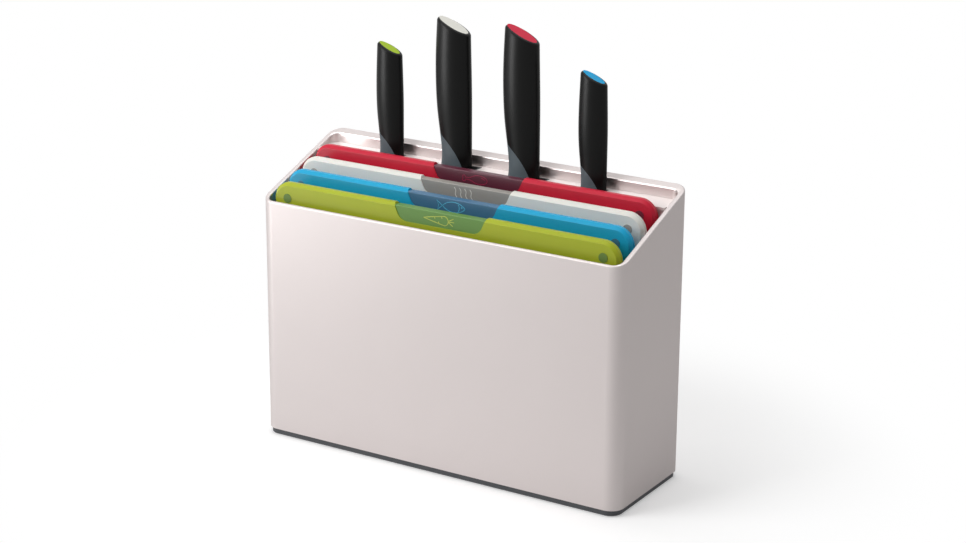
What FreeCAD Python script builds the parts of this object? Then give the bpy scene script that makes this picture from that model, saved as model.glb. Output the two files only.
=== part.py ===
import FreeCAD, Part

# Upright storage case for four chopping boards and four kitchen knives.
#
# X runs left to right, Y from front to rear and Z up.  The origin lies on the surface
# that the case stands on, at the centre of its footprint.  All lengths are millimetres.

import math
import os

import Sketcher
from FreeCAD import Vector

DIMENSIONS = {
    # Sheet-metal case with a sloping, folded rim.
    "case_width": 330.0,
    "case_depth": 106.0,
    "case_corner": 11.3,
    "case_bottom": 5.4,
    "rim_front": 200.1,
    "rim_rear": 238.7,
    "rim_front_width": 3.0,
    "rim_side_width": 4.5,
    "rim_rear_width": 8.0,
    "mouth_corner": 6.5,
    "rim_drop": 14.0,
    "rim_round": 1.3,
    "sheet_thick": 1.0,
    # Moulded base tray, its rubber feet and its screws.
    "tray_bottom": 0.8,
    "tray_inset": 1.5,
    "tray_floor": 6.0,
    "tray_top": 15.4,
    "tray_wall": 2.0,
    "tray_gap": 0.2,
    "foot_radius": 9.0,
    "foot_sink": 0.9,
    "foot_x": 140.0,
    "foot_y": 37.0,
    "foot_bevel": 0.4,
    "screw_radius": 1.5,
    "screw_head_radius": 3.0,
    "screw_head_low": 1.0,
    "screw_head_high": 2.2,
    "screw_top": 11.9,
    "screw_x": 112.0,
    "screw_middle": -12.75,
    "screw_y": 18.5,
    "boss_radius": 3.6,
    # Chopping boards, from the front one to the rear one.
    "board_length": 314.6,
    "board_height": 200.0,
    "board_thick": 8.0,
    "board_corner": 14.5,
    "board_bevel": 2.4,
    "bevel_soft": 0.5,
    "board_front": -44.5,
    "board_pitch": 18.5,
    "board_low": 15.4,
    "board_step": 6.2,
    "tab_width": 82.4,
    "tab_base": 72.0,
    "tab_depth": 12.0,
    "tab_corner": 10.0,
    "tab_drop": 1.4,
    "tab_recess": 0.6,
    "tab_soft": 0.8,
    "button_radius": 3.8,
    "button_proud": 0.35,
    "button_from_end": 13.5,
    "button_from_top": 12.7,
    # Rack and side guides that keep the boards apart.
    "rack_length": 296.0,
    "rack_gap": 0.5,
    "rack_rise": 14.0,
    "rack_wall": 1.8,
    "rack_floor": 2.4,
    "web_thick": 2.5,
    "guide_inner": 151.0,
    "guide_plate": 160.3,
    "guide_outer": 163.4,
    "guide_corner": 3.0,
    "guide_low": 50.4,
    "guide_high": 167.4,
    # Knife bay.
    "deck_top": 227.5,
    "deck_thick": 2.5,
    "deck_front": 20.3,
    "deck_gap": 0.1,
    "divider_front": 21.4,
    "divider_thick": 1.8,
    "divider_low": 6.2,
    "cheek_low": 112.4,
    "cheek_rear": 39.5,
    "knife_y": 36.0,
    "knife_gap": 0.3,
    "slot_soft": 1.2,
    "sheath_wall": 1.3,
    "sheath_gap": 0.15,
    "sheath_below": 8.0,
    # Shape shared by all handles.
    "cap_inset": 2.3,
    "cap_thick": 2.2,
    "handle_soft": 2.2,
    "blade_thick": 1.8,
    # Paring knife.
    "paring_x": -86.0,
    "paring_width": 25.0,
    "paring_high": 93.9,
    "paring_low_side": 82.9,
    "paring_grip_high": 18.3,
    "paring_length": 90.0,
    "paring_spine": -19.2,
    "paring_edge": -1.8,
    "paring_tip": -12.5,
    "paring_belly": 62.0,
    "paring_curve": 60.0,
    "paring_slot_left": -19.8,
    "paring_slot_right": -1.2,
    "paring_slot_wide": 7.0,
    # Bread knife.
    "bread_x": -20.8,
    "bread_width": 33.0,
    "bread_high": 121.0,
    "bread_low_side": 106.4,
    "bread_grip_high": 27.3,
    "bread_length": 200.0,
    "bread_spine": -25.3,
    "bread_edge": 4.3,
    "bread_tip": -13.0,
    "bread_belly": 180.0,
    "bread_curve": 24.0,
    "bread_slot_left": -25.9,
    "bread_slot_right": 4.9,
    "bread_slot_wide": 10.0,
    "scallop_pitch": 7.5,
    "scallop_radius": 4.6,
    "scallop_depth": 1.3,
    "scallop_start": 16.0,
    # Chef's knife.
    "chef_x": 41.7,
    "chef_width": 33.0,
    "chef_high": 122.0,
    "chef_low_side": 106.8,
    "chef_grip_high": 27.3,
    "chef_length": 165.0,
    "chef_spine": -25.3,
    "chef_edge": 4.3,
    "chef_tip": -20.5,
    "chef_belly": 92.0,
    "chef_curve": 125.0,
    "chef_slot_left": -25.9,
    "chef_slot_right": 4.9,
    "chef_slot_wide": 10.0,
    # Filleting knife.
    "fillet_x": 101.4,
    "fillet_width": 25.0,
    "fillet_high": 94.0,
    "fillet_low_side": 82.8,
    "fillet_grip_high": 18.6,
    "fillet_length": 165.0,
    "fillet_spine": -19.2,
    "fillet_edge": -1.8,
    "fillet_tip": -16.0,
    "fillet_belly": 100.0,
    "fillet_curve": 180.0,
    "fillet_slot_left": -19.8,
    "fillet_slot_right": -1.2,
    "fillet_slot_wide": 7.0,
}

BOARDS = ["lime", "blue", "white", "red"]
KNIVES = ["paring", "bread", "chef", "fillet"]

# Handle sections from the deck up: height as a share of the handle's height, then the
# back's inset, the finger side's inset and half the thickness as shares of its width.
LARGE_HANDLE = [
    (0.00, 0.155, 0.014, 0.225),
    (0.16, 0.148, 0.014, 0.232),
    (0.32, 0.066, 0.018, 0.256),
    (0.50, 0.012, 0.026, 0.280),
    (0.70, 0.000, 0.046, 0.284),
    (0.88, 0.022, 0.064, 0.274),
    (1.06, 0.052, 0.084, 0.256),
]
SMALL_HANDLE = [
    (0.00, 0.110, 0.000, 0.225),
    (0.16, 0.100, 0.000, 0.232),
    (0.32, 0.036, 0.002, 0.258),
    (0.50, 0.002, 0.008, 0.284),
    (0.70, 0.008, 0.030, 0.288),
    (0.88, 0.032, 0.052, 0.278),
    (1.06, 0.060, 0.074, 0.260),
]
HANDLES = {
    "paring": SMALL_HANDLE,
    "bread": LARGE_HANDLE,
    "chef": LARGE_HANDLE,
    "fillet": SMALL_HANDLE,
}

model = FreeCAD.newDocument("board_and_knife_case")
sheet = model.addObject("Spreadsheet::Sheet", "Size")
nodes = []


def fill_sheet():
    """Write each driving dimension into the sheet and give its cell the dimension's name."""
    for row, (name, value) in enumerate(DIMENSIONS.items(), 1):
        sheet.set(f"A{row}", name)
        sheet.set(f"B{row}", str(value))
        sheet.setAlias(f"B{row}", name)
    model.recompute()


def number(expression):
    """Value in millimetres of an expression on the sheet's cells."""
    return float(sheet.evalExpression(expression))


def finish_node(item, name):
    """Give a finished sub-part its label and add it to the ones that are written."""
    item.Label = name
    nodes.append(item)
    return item


def place(item, x="0", y="0", z="0"):
    """Bind an object's position to expressions."""
    for axis, expression in zip("xyz", (x, y, z)):
        item.setExpression(f".Placement.Base.{axis}", expression)


def new_body(name):
    """Start an empty PartDesign body."""
    return model.addObject("PartDesign::Body", name)


def new_sketch(body, role, name, offset="0"):
    """Add a sketch on one of the body's origin planes, moved along the plane's normal."""
    sketch = body.newObject("Sketcher::SketchObject", name)
    plane = next(item for item in body.Origin.OriginFeatures if item.Role == role)
    sketch.AttachmentSupport = [(plane, "")]
    sketch.MapMode = "FlatFace"
    sketch.setExpression("AttachmentOffset.Base.z", offset)
    return sketch


def drive(sketch, kind, where, expression):
    """Add one dimension constraint and bind it to an expression."""
    index = sketch.addConstraint(Sketcher.Constraint(kind, *where, number(expression)))
    sketch.setExpression(f"Constraints[{index}]", expression)


def pin_point(sketch, geometry, end, x, y):
    """Fix one end of a sketch element at two expressions, measured from the origin."""
    drive(sketch, "DistanceX", (-1, 1, geometry, end), x)
    drive(sketch, "DistanceY", (-1, 1, geometry, end), y)


def arc_through(start, end, radius):
    """Shorter arc from start to end that bulges to the left of that direction."""
    chord = end.sub(start)
    middle = start.add(end).multiply(0.5)
    side = Vector(chord.y, -chord.x, 0).normalize()
    reach = math.sqrt(radius**2 - (chord.Length / 2) ** 2)
    centre = middle.add(side.multiply(reach))
    angles = [math.atan2(point.y - centre.y, point.x - centre.x) for point in (end, start)]
    circle = Part.Circle(centre, Vector(0, 0, 1), radius)
    return Part.ArcOfCircle(circle, *angles)


def draw_outline(sketch, corners, arcs=None):
    """Draw a closed outline through corners, which are pairs of expressions.

    arcs gives the radius of each side that is an arc, by the number of the corner that it
    leaves.  Such a side bulges to the left of its direction of travel.
    """
    arcs = arcs or {}
    points = [Vector(number(x), number(y), 0) for x, y in corners]
    ends = []
    for index, start in enumerate(points):
        end = points[(index + 1) % len(points)]
        if index in arcs:
            sketch.addGeometry(arc_through(start, end, number(arcs[index])), False)
            ends.append((2, 1))
        else:
            sketch.addGeometry(Part.LineSegment(start, end), False)
            ends.append((1, 2))
    for index, (x, y) in enumerate(corners):
        following = (index + 1) % len(corners)
        joint = Sketcher.Constraint(
            "Coincident", index, ends[index][1], following, ends[following][0]
        )
        sketch.addConstraint(joint)
        pin_point(sketch, index, ends[index][0], x, y)
    for index, radius in arcs.items():
        drive(sketch, "Radius", (index,), radius)


def draw_rectangle(sketch, left, right, low, high):
    """Draw a rectangle between four expressions."""
    draw_outline(sketch, [(left, low), (right, low), (right, high), (left, high)])


def draw_centred(sketch, width, height):
    """Draw a rectangle about the sketch's origin."""
    across = f"({width}) / 2"
    along = f"({height}) / 2"
    draw_rectangle(sketch, f"-{across}", across, f"-{along}", along)


def draw_circles(sketch, centres, radius):
    """Draw equal circles at pairs of expressions."""
    for index, (x, y) in enumerate(centres):
        centre = Vector(number(x), number(y), 0)
        circle = Part.Circle(centre, Vector(0, 0, 1), number(radius))
        sketch.addGeometry(circle, False)
        pin_point(sketch, index, 3, x, y)
        drive(sketch, "Radius", (index,), radius)


def draw_ellipse(sketch, left, right, half_thick):
    """Draw an ellipse whose long axis lies on the sketch's X axis."""
    x_low, x_high, y_half = number(left), number(right), number(half_thick)
    middle = (x_low + x_high) / 2
    tall = Vector(middle, y_half, 0)
    ellipse = Part.Ellipse(Vector(x_high, 0, 0), tall, Vector(middle, 0, 0))
    sketch.addGeometry(ellipse, False)
    sketch.exposeInternalGeometry(0)
    long_axis, short_axis = 1, 2
    for end in (1, 2):
        is_right = sketch.getPoint(long_axis, end).x > middle
        pin_point(sketch, long_axis, end, right if is_right else left, "0")
    top = 1 if sketch.getPoint(short_axis, 1).y > 0 else 2
    drive(sketch, "DistanceY", (-1, 1, short_axis, top), half_thick)


def add_feature(body, kind, name, sketch, length=None, side="One side", flip=False):
    """Pad or pocket a sketch; a pocket with no length goes through all."""
    feature = body.newObject(f"PartDesign::{kind}", name)
    feature.Profile = sketch
    feature.SideType = side
    feature.Reversed = flip
    if length is None:
        feature.Type = "ThroughAll"
    else:
        feature.setExpression("Length", length)
    model.recompute()
    return feature


def cut_away(body, name, sketch, length=None, side="One side", flip=False):
    """Pocket a sketch and make sure that the pocket removes material."""
    before = body.Shape.Volume
    add_feature(body, "Pocket", name, sketch, length, side, flip)
    if body.Shape.Volume >= before - 1e-6:
        raise RuntimeError(f"{name} cuts nothing")


def soften(body, kind, name, choose, amount):
    """Fillet or chamfer the edges of the body's newest feature that choose accepts."""
    base = body.Tip
    edges = [f"Edge{n}" for n, edge in enumerate(base.Shape.Edges, 1) if choose(edge)]
    if not edges:
        raise RuntimeError(f"{name} finds no edge")
    feature = body.newObject(f"PartDesign::{kind}", name)
    feature.Base = (base, edges)
    feature.setExpression("Radius" if kind == "Fillet" else "Size", amount)
    model.recompute()


def runs_along(edge, axis):
    """Whether an edge is straight and parallel to X, Y or Z."""
    start, end = edge.Vertexes[0].Point, edge.Vertexes[-1].Point
    gaps = [abs(a - b) for a, b in zip(start, end)]
    longest = gaps["XYZ".index(axis)]
    return longest > 1e-3 and sum(gaps) - longest < 1e-6


def add_box(name, x, y, z):
    """Box between three pairs of expressions, one pair for each axis."""
    box = model.addObject("Part::Box", name)
    place(box, x[0], y[0], z[0])
    for side, (low, high) in zip(("Length", "Width", "Height"), (x, y, z)):
        box.setExpression(side, f"({high}) - ({low})")
    return box


def add_cylinder(name, centre, radius, low, high):
    """Upright cylinder between two heights."""
    cylinder = model.addObject("Part::Cylinder", name)
    place(cylinder, centre[0], centre[1], low)
    cylinder.setExpression("Radius", radius)
    cylinder.setExpression("Height", f"({high}) - ({low})")
    return cylinder


def fuse(name, items):
    """Join several shapes into one solid."""
    joined = model.addObject("Part::MultiFuse", name)
    joined.Shapes = items
    joined.Refine = True
    return joined


def subtract(name, base, tool):
    """Cut one shape with another."""
    cut = model.addObject("Part::Cut", name)
    cut.Base = base
    cut.Tool = tool
    return cut


def group(name, items):
    """Keep separate solids together in one sub-part."""
    compound = model.addObject("Part::Compound", name)
    compound.Links = items
    return compound


# ---------------------------------------------------------------- case


def slope_sketch(body, name, drop):
    """Profile, seen from the side, of everything above the rim's slope less a drop."""
    sketch = new_sketch(body, "YZ_Plane", name)
    front, rear = "-Size.case_depth / 2", "Size.case_depth / 2"
    above = "Size.rim_rear + 20"
    corners = [
        (front, f"Size.rim_front - ({drop})"),
        (rear, f"Size.rim_rear - ({drop})"),
        (rear, above),
        (front, above),
    ]
    draw_outline(sketch, corners)
    return sketch


def slope_height(y):
    """Height of the rim's plane at a distance towards the rear."""
    rise = number("Size.rim_rear - Size.rim_front") / number("Size.case_depth")
    return number("Size.rim_front") + rise * (y + number("Size.case_depth") / 2)


def on_rim(edge):
    """Whether both ends of an edge lie in the rim's sloping plane."""
    return all(abs(v.Point.z - slope_height(v.Point.y)) < 0.01 for v in edge.Vertexes)


def mouth_reach(gap="0"):
    """Distance from the middle to the mouth's left and right sides, less a gap."""
    return f"(Size.case_width / 2 - Size.rim_side_width - {gap})"


def mouth_depth(gap="0"):
    """Front and rear sides of the mouth, moved inwards by a gap."""
    front = f"(-Size.case_depth / 2 + Size.rim_front_width + {gap})"
    return front, f"(Size.case_depth / 2 - Size.rim_rear_width - {gap})"


def make_outer_case():
    """Folded sheet sleeve, open above and below, with a wide rounded rim."""
    blank = new_body("case_blank")
    outline = new_sketch(blank, "XY_Plane", "case_outline", "Size.case_bottom")
    draw_centred(outline, "Size.case_width", "Size.case_depth")
    add_feature(blank, "Pad", "case_block", outline, "Size.rim_rear - Size.case_bottom")
    soften(
        blank, "Fillet", "case_corners", lambda e: runs_along(e, "Z"), "Size.case_corner"
    )
    slope = slope_sketch(blank, "case_slope", "0")
    cut_away(blank, "case_slope_cut", slope, side="Symmetric")

    mouth = new_sketch(blank, "XY_Plane", "case_mouth", "Size.case_bottom")
    front, rear = mouth_depth()
    draw_rectangle(mouth, f"-{mouth_reach()}", mouth_reach(), front, rear)
    cut_away(blank, "case_mouth_cut", mouth, flip=True)
    inner_x = number(mouth_reach())
    soften(
        blank,
        "Fillet",
        "mouth_corners",
        lambda e: runs_along(e, "Z") and abs(abs(e.Vertexes[0].X) - inner_x) < 0.01,
        "Size.mouth_corner",
    )
    soften(blank, "Fillet", "rim_rounding", on_rim, "Size.rim_round")

    hollow = new_body("case_hollow")
    inside = new_sketch(hollow, "XY_Plane", "hollow_outline")
    draw_centred(
        inside,
        "Size.case_width - 2 * Size.sheet_thick",
        "Size.case_depth - 2 * Size.sheet_thick",
    )
    add_feature(hollow, "Pad", "hollow_block", inside, "Size.rim_rear")
    soften(
        hollow,
        "Fillet",
        "hollow_corners",
        lambda e: runs_along(e, "Z"),
        "Size.case_corner - Size.sheet_thick",
    )
    fold = slope_sketch(hollow, "hollow_slope", "Size.rim_drop")
    cut_away(hollow, "hollow_slope_cut", fold, side="Symmetric")
    finish_node(subtract("outer_case", blank, hollow), "outer_case")


def grid(x, y, columns):
    """Pairs of expressions for a grid of two rows and columns at the given multiples of x."""
    return [(f"{column} * {x}", f"{row} * {y}") for row in (-1, 1) for column in columns]


def screw_centres():
    """Places of the six screws, in the two gaps between the rack's outer channels."""
    places = grid("Size.screw_x", "Size.screw_y", (-1, 0, 1))
    return [(x, f"{y} + Size.screw_middle") for x, y in places]


def make_base_tray():
    """Tray that closes the case, with a plinth that shows below the sheet."""
    body = new_body("base_tray")
    plinth = new_sketch(body, "XY_Plane", "plinth_outline", "Size.tray_bottom")
    draw_centred(
        plinth, "Size.case_width - 2 * Size.tray_inset", "Size.case_depth - 2 * Size.tray_inset"
    )
    add_feature(body, "Pad", "plinth", plinth, "Size.case_bottom - Size.tray_bottom")
    soften(
        body,
        "Fillet",
        "plinth_corners",
        lambda e: runs_along(e, "Z"),
        "Size.case_corner - Size.tray_inset",
    )
    inset = "(Size.sheet_thick + Size.tray_gap)"
    spigot = new_sketch(body, "XY_Plane", "spigot_outline", "Size.case_bottom")
    draw_centred(spigot, f"Size.case_width - 2 * {inset}", f"Size.case_depth - 2 * {inset}")
    add_feature(body, "Pad", "spigot", spigot, "Size.tray_top - Size.case_bottom")
    high = number("Size.tray_top")
    soften(
        body,
        "Fillet",
        "spigot_corners",
        lambda e: runs_along(e, "Z") and max(v.Z for v in e.Vertexes) > high - 0.01,
        f"Size.case_corner - {inset}",
    )
    inset = f"({inset} + Size.tray_wall)"
    well = new_sketch(body, "XY_Plane", "well_outline", "Size.tray_floor")
    draw_centred(well, f"Size.case_width - 2 * {inset}", f"Size.case_depth - 2 * {inset}")
    cut_away(body, "well", well, "Size.tray_top - Size.tray_floor", flip=True)

    feet = new_sketch(body, "XY_Plane", "foot_seats", "Size.tray_bottom")
    draw_circles(feet, grid("Size.foot_x", "Size.foot_y", (-1, 1)), "Size.foot_radius")
    cut_away(body, "foot_seat_cut", feet, "Size.foot_sink", flip=True)
    holes = new_sketch(body, "XY_Plane", "screw_holes", "Size.tray_bottom")
    centres = screw_centres()
    draw_circles(holes, centres, "Size.screw_radius + 0.2")
    cut_away(body, "screw_hole_cut", holes, flip=True)
    sinks = new_sketch(body, "XY_Plane", "screw_sinks", "Size.tray_bottom")
    draw_circles(sinks, centres, "Size.screw_head_radius + 0.3")
    cut_away(
        body, "screw_sink_cut", sinks, "Size.screw_head_high - Size.tray_bottom", flip=True
    )
    finish_node(body, "base_tray")


def make_feet():
    """Four rubber feet, sunk into the tray's underside."""
    names = [f"foot_{end}_{side}" for end in ("front", "rear") for side in ("left", "right")]
    for name, (x, y) in zip(names, grid("Size.foot_x", "Size.foot_y", (-1, 1))):
        body = new_body(name)
        disc = new_sketch(body, "XY_Plane", f"{name}_disc")
        draw_circles(disc, [("0", "0")], "Size.foot_radius")
        add_feature(body, "Pad", f"{name}_pad", disc, "Size.tray_bottom + Size.foot_sink")
        soften(
            body,
            "Chamfer",
            f"{name}_bevel",
            lambda e: max(v.Z for v in e.Vertexes) < 0.01,
            "Size.foot_bevel",
        )
        place(body, x, y)
        finish_node(body, name)


def make_screws():
    """Six pan-head screws that hold the board rack to the tray from below."""
    screws = []
    for index, centre in enumerate(screw_centres()):
        head = add_cylinder(
            f"screw_head_{index}",
            centre,
            "Size.screw_head_radius",
            "Size.screw_head_low",
            "Size.screw_head_high",
        )
        shank = add_cylinder(
            f"screw_shank_{index}",
            centre,
            "Size.screw_radius",
            "Size.screw_head_low",
            "Size.screw_top",
        )
        screws.append(fuse(f"screw_{index}", [head, shank]))
    finish_node(group("base_screws", screws), "base_screws")


# ---------------------------------------------------------------- board bay


def board_y(index):
    """Expression for the front face of a board, counted from the front one."""
    return f"Size.board_front + {index} * Size.board_pitch"


def board_z(index):
    """Expression for the lower edge of a board."""
    return f"Size.board_low + {index} * Size.board_step"


def make_board_rack():
    """Four stepped channels that the boards stand in, on cross webs and screw bosses."""
    half = "Size.rack_length / 2"
    pieces = []
    for index in range(len(BOARDS)):
        front = f"{board_y(index)} - Size.rack_gap"
        rear = f"{board_y(index)} + Size.board_thick + Size.rack_gap"
        floor = f"{board_z(index)} - Size.knife_gap"
        under = f"{floor} - Size.rack_floor"
        outer = (f"{front} - Size.rack_wall", f"{rear} + Size.rack_wall")
        span = (f"-{half}", half)
        pieces.append(add_box(f"channel_floor_{index}", span, outer, (under, floor)))
        top = f"{floor} + Size.rack_rise"
        for side, wall in (("front", (outer[0], front)), ("rear", (rear, outer[1]))):
            pieces.append(add_box(f"channel_{side}_{index}", span, wall, (under, top)))
        last = index == len(BOARDS) - 1
        behind = outer[1] if last else f"{outer[0]} + Size.board_pitch"
        for number_of_web, share in enumerate((-1, -0.42, 0.42, 1)):
            middle = f"{share} * ({half} - Size.web_thick / 2)"
            across = (f"{middle} - Size.web_thick / 2", f"{middle} + Size.web_thick / 2")
            name = f"web_{index}_{number_of_web}"
            pieces.append(add_box(name, across, (outer[0], behind), ("Size.tray_floor", floor)))
    holes = []
    for index, centre in enumerate(screw_centres()):
        top = f"{board_z(1 if index < 3 else 3)} - Size.rack_floor"
        low = "Size.tray_floor"
        pieces.append(add_cylinder(f"boss_{index}", centre, "Size.boss_radius", low, top))
        hole = add_cylinder(f"boss_hole_{index}", centre, "Size.screw_radius", "0", "Size.screw_top")
        holes.append(hole)
    solid = fuse("rack_solid", pieces)
    finish_node(subtract("board_rack", solid, fuse("rack_holes", holes)), "board_rack")


def make_side_guides():
    """Upright combs at the ends of the boards, one inside each end of the case."""
    for side, sign in (("left", -1), ("right", 1)):
        reach = sorted(
            (f"{sign} * Size.guide_plate", f"{sign} * Size.guide_outer"), key=number
        )
        finger = sorted(
            (f"{sign} * Size.guide_inner", f"{sign} * Size.guide_plate"), key=number
        )
        height = ("Size.guide_low", "Size.guide_high")
        front = f"{board_y(0)} - Size.rack_gap - Size.rack_wall"
        rear = f"{board_y(3)} + Size.board_thick + Size.rack_gap + Size.rack_wall"
        plate = new_body(f"guide_plate_{side}")
        outline = new_sketch(plate, "XY_Plane", f"guide_outline_{side}", "Size.guide_low")
        draw_rectangle(outline, *reach, front, rear)
        add_feature(plate, "Pad", f"guide_pad_{side}", outline, "Size.guide_high - Size.guide_low")
        soften(
            plate,
            "Fillet",
            f"guide_corner_{side}",
            lambda e, x=number(reach[0 if sign < 0 else 1]), y=number(front): runs_along(e, "Z")
            and abs(e.Vertexes[0].X - x) + abs(e.Vertexes[0].Y - y) < 0.01,
            "Size.guide_corner",
        )
        pieces = [plate]
        for index in range(len(BOARDS)):
            face = f"{board_y(index)} - Size.rack_gap"
            back = f"{board_y(index)} + Size.board_thick + Size.rack_gap"
            walls = ((f"{face} - Size.rack_wall", face), (back, f"{back} + Size.rack_wall"))
            for order, wall in enumerate(walls):
                name = f"guide_{side}_{index}_{order}"
                pieces.append(add_box(name, finger, wall, height))
        finish_node(fuse(f"side_guide_{side}", pieces), f"side_guide_{side}")


def make_panel(colour):
    """Bevelled chopping board with a notch for its tab and holes for its buttons."""
    body = new_body(f"{colour}_board_panel")
    outline = new_sketch(body, "XZ_Plane", f"{colour}_outline")
    half = "Size.board_length / 2"
    draw_rectangle(outline, f"-{half}", half, "0", "Size.board_height")
    add_feature(body, "Pad", f"{colour}_blank", outline, "Size.board_thick", "Symmetric")
    soften(
        body,
        "Fillet",
        f"{colour}_corners",
        lambda e: runs_along(e, "Y"),
        "Size.board_corner",
    )
    face = number("Size.board_thick / 2")
    soften(
        body,
        "Chamfer",
        f"{colour}_bevel",
        lambda e: all(abs(abs(v.Y) - face) < 0.01 for v in e.Vertexes) and not runs_along(e, "Y"),
        "Size.board_bevel",
    )
    soften(
        body,
        "Fillet",
        f"{colour}_bevel_softening",
        lambda e: all(abs(abs(v.Y) - face) < 0.01 for v in e.Vertexes),
        "Size.bevel_soft",
    )
    notch = new_sketch(body, "XZ_Plane", f"{colour}_notch")
    draw_tab(notch, "Size.board_height + 1")
    cut_away(body, f"{colour}_notch_cut", notch, side="Symmetric")
    holes = new_sketch(body, "XZ_Plane", f"{colour}_holes")
    draw_circles(holes, button_centres(), "Size.button_radius")
    cut_away(body, f"{colour}_hole_cut", holes, side="Symmetric")
    return body


def tab_rise():
    """How far the tab's sides lean inwards for each millimetre down, as an expression."""
    return "((Size.tab_width - Size.tab_base) / 2 / Size.tab_depth)"


def draw_tab(sketch, top):
    """Outline of the tab up to a height: leaning sides and large round lower corners."""
    low = "(Size.board_height - Size.tab_drop - Size.tab_depth)"
    lean = f"atan({tab_rise()})"
    reach = f"(Size.tab_corner * tan((90 deg - {lean}) / 2))"
    foot_x = f"(Size.tab_base / 2 - {reach})"
    side_x = f"(Size.tab_base / 2 + {reach} * sin({lean}))"
    side_z = f"({low} + {reach} * cos({lean}))"
    top_x = f"(Size.tab_base / 2 + ({top} - {low}) * {tab_rise()})"
    corners = [
        (f"-{top_x}", top),
        (top_x, top),
        (side_x, side_z),
        (foot_x, low),
        (f"-{foot_x}", low),
        (f"-{side_x}", side_z),
    ]
    draw_outline(sketch, corners, {2: "Size.tab_corner", 4: "Size.tab_corner"})


def button_centres():
    """Centres of the four buttons, near the corners of a board."""
    across = "(Size.board_length / 2 - Size.button_from_end)"
    heights = ("Size.button_from_top", "Size.board_height - Size.button_from_top")
    return [(f"{side} * {across}", height) for height in heights for side in (-1, 1)]


def make_tab(colour):
    """Soft tab that fills the notch in the board's upper edge."""
    body = new_body(f"{colour}_board_tab")
    outline = new_sketch(body, "XZ_Plane", f"{colour}_tab_outline")
    draw_tab(outline, "(Size.board_height - Size.tab_drop)")
    thick = "Size.board_thick - 2 * Size.tab_recess"
    add_feature(body, "Pad", f"{colour}_tab_pad", outline, thick, "Symmetric")
    high = number("Size.board_height - Size.tab_drop")
    soften(
        body,
        "Fillet",
        f"{colour}_tab_softening",
        lambda e: runs_along(e, "X") and min(v.Z for v in e.Vertexes) > high - 0.01,
        "Size.tab_soft",
    )
    return body


def make_buttons(colour, index):
    """Four soft buttons that pass through the board and stand proud of both faces."""
    buttons = []
    deep = f"{board_y(index)} - Size.button_proud"
    for order, (x, z) in enumerate(button_centres()):
        button = model.addObject("Part::Cylinder", f"{colour}_button_{order}")
        button.Placement.Rotation = FreeCAD.Rotation(Vector(1, 0, 0), -90)
        place(button, x, deep, f"{board_z(index)} + {z}")
        button.setExpression("Radius", "Size.button_radius")
        button.setExpression("Height", "Size.board_thick + 2 * Size.button_proud")
        buttons.append(button)
    return group(f"{colour}_board_buttons", buttons)


def make_boards():
    """Four equal boards, each further back and higher than the one before it."""
    for index, colour in enumerate(BOARDS):
        middle = f"{board_y(index)} + Size.board_thick / 2"
        for piece, body in (("panel", make_panel(colour)), ("tab", make_tab(colour))):
            place(body, "0", middle, board_z(index))
            finish_node(body, f"{colour}_board_{piece}")
        finish_node(make_buttons(colour, index), f"{colour}_board_buttons")


# ---------------------------------------------------------------- knife bay


def make_divider():
    """Upright wall behind the boards with a cheek at each end; the deck rests on it."""
    reach = mouth_reach("0.3")
    rear = "Size.divider_front + Size.divider_thick"
    under = "Size.deck_top - Size.deck_thick"
    wall = add_box(
        "divider_wall",
        (f"-{reach}", reach),
        ("Size.divider_front", rear),
        ("Size.divider_low", under),
    )
    cheeks = []
    for name, (low, high) in {
        "left": (f"-{reach}", f"-{reach} + Size.divider_thick"),
        "right": (f"{reach} - Size.divider_thick", reach),
    }.items():
        depth = ("Size.divider_front", "Size.cheek_rear")
        cheeks.append(add_box(f"cheek_{name}", (low, high), depth, ("Size.cheek_low", under)))
    finish_node(fuse("bay_divider", [wall] + cheeks), "bay_divider")


def slot_span(knife, extra):
    """Left and right ends of a knife's pocket, moved outwards by an extra amount."""
    centre = f"Size.{knife}_x"
    return (
        f"{centre} + Size.{knife}_slot_left - {extra}",
        f"{centre} + Size.{knife}_slot_right + {extra}",
    )


def slot_depth(knife, extra):
    """Front and rear sides of a knife's pocket, moved outwards by an extra amount."""
    half = f"(Size.{knife}_slot_wide / 2 + {extra})"
    return f"Size.knife_y - {half}", f"Size.knife_y + {half}"


def make_deck():
    """Shelf just below the rim, with one round-cornered slot for each knife."""
    body = new_body("knife_deck")
    outline = new_sketch(body, "XY_Plane", "deck_outline", "Size.deck_top - Size.deck_thick")
    across = mouth_reach("Size.deck_gap")
    rear = mouth_depth("Size.deck_gap")[1]
    draw_rectangle(outline, f"-{across}", across, "Size.deck_front", rear)
    add_feature(body, "Pad", "deck_plate", outline, "Size.deck_thick")
    back = number(rear)
    soften(
        body,
        "Fillet",
        "deck_corners",
        lambda e: runs_along(e, "Z") and e.Vertexes[0].Y > back - 0.01,
        "Size.mouth_corner - Size.deck_gap",
    )
    around = "(Size.sheath_wall + Size.sheath_gap)"
    for knife in KNIVES:
        slot = new_sketch(body, "XY_Plane", f"{knife}_slot", "Size.deck_top")
        draw_rectangle(slot, *slot_span(knife, around), *slot_depth(knife, around))
        cut_away(body, f"{knife}_slot_cut", slot)
    ends = [number(end) for knife in KNIVES for end in slot_span(knife, around)]
    soften(
        body,
        "Fillet",
        "slot_corners",
        lambda e: runs_along(e, "Z") and min(abs(e.Vertexes[0].X - end) for end in ends) < 0.01,
        "Size.slot_soft + Size.sheath_gap",
    )
    finish_node(body, "knife_deck")


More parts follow.
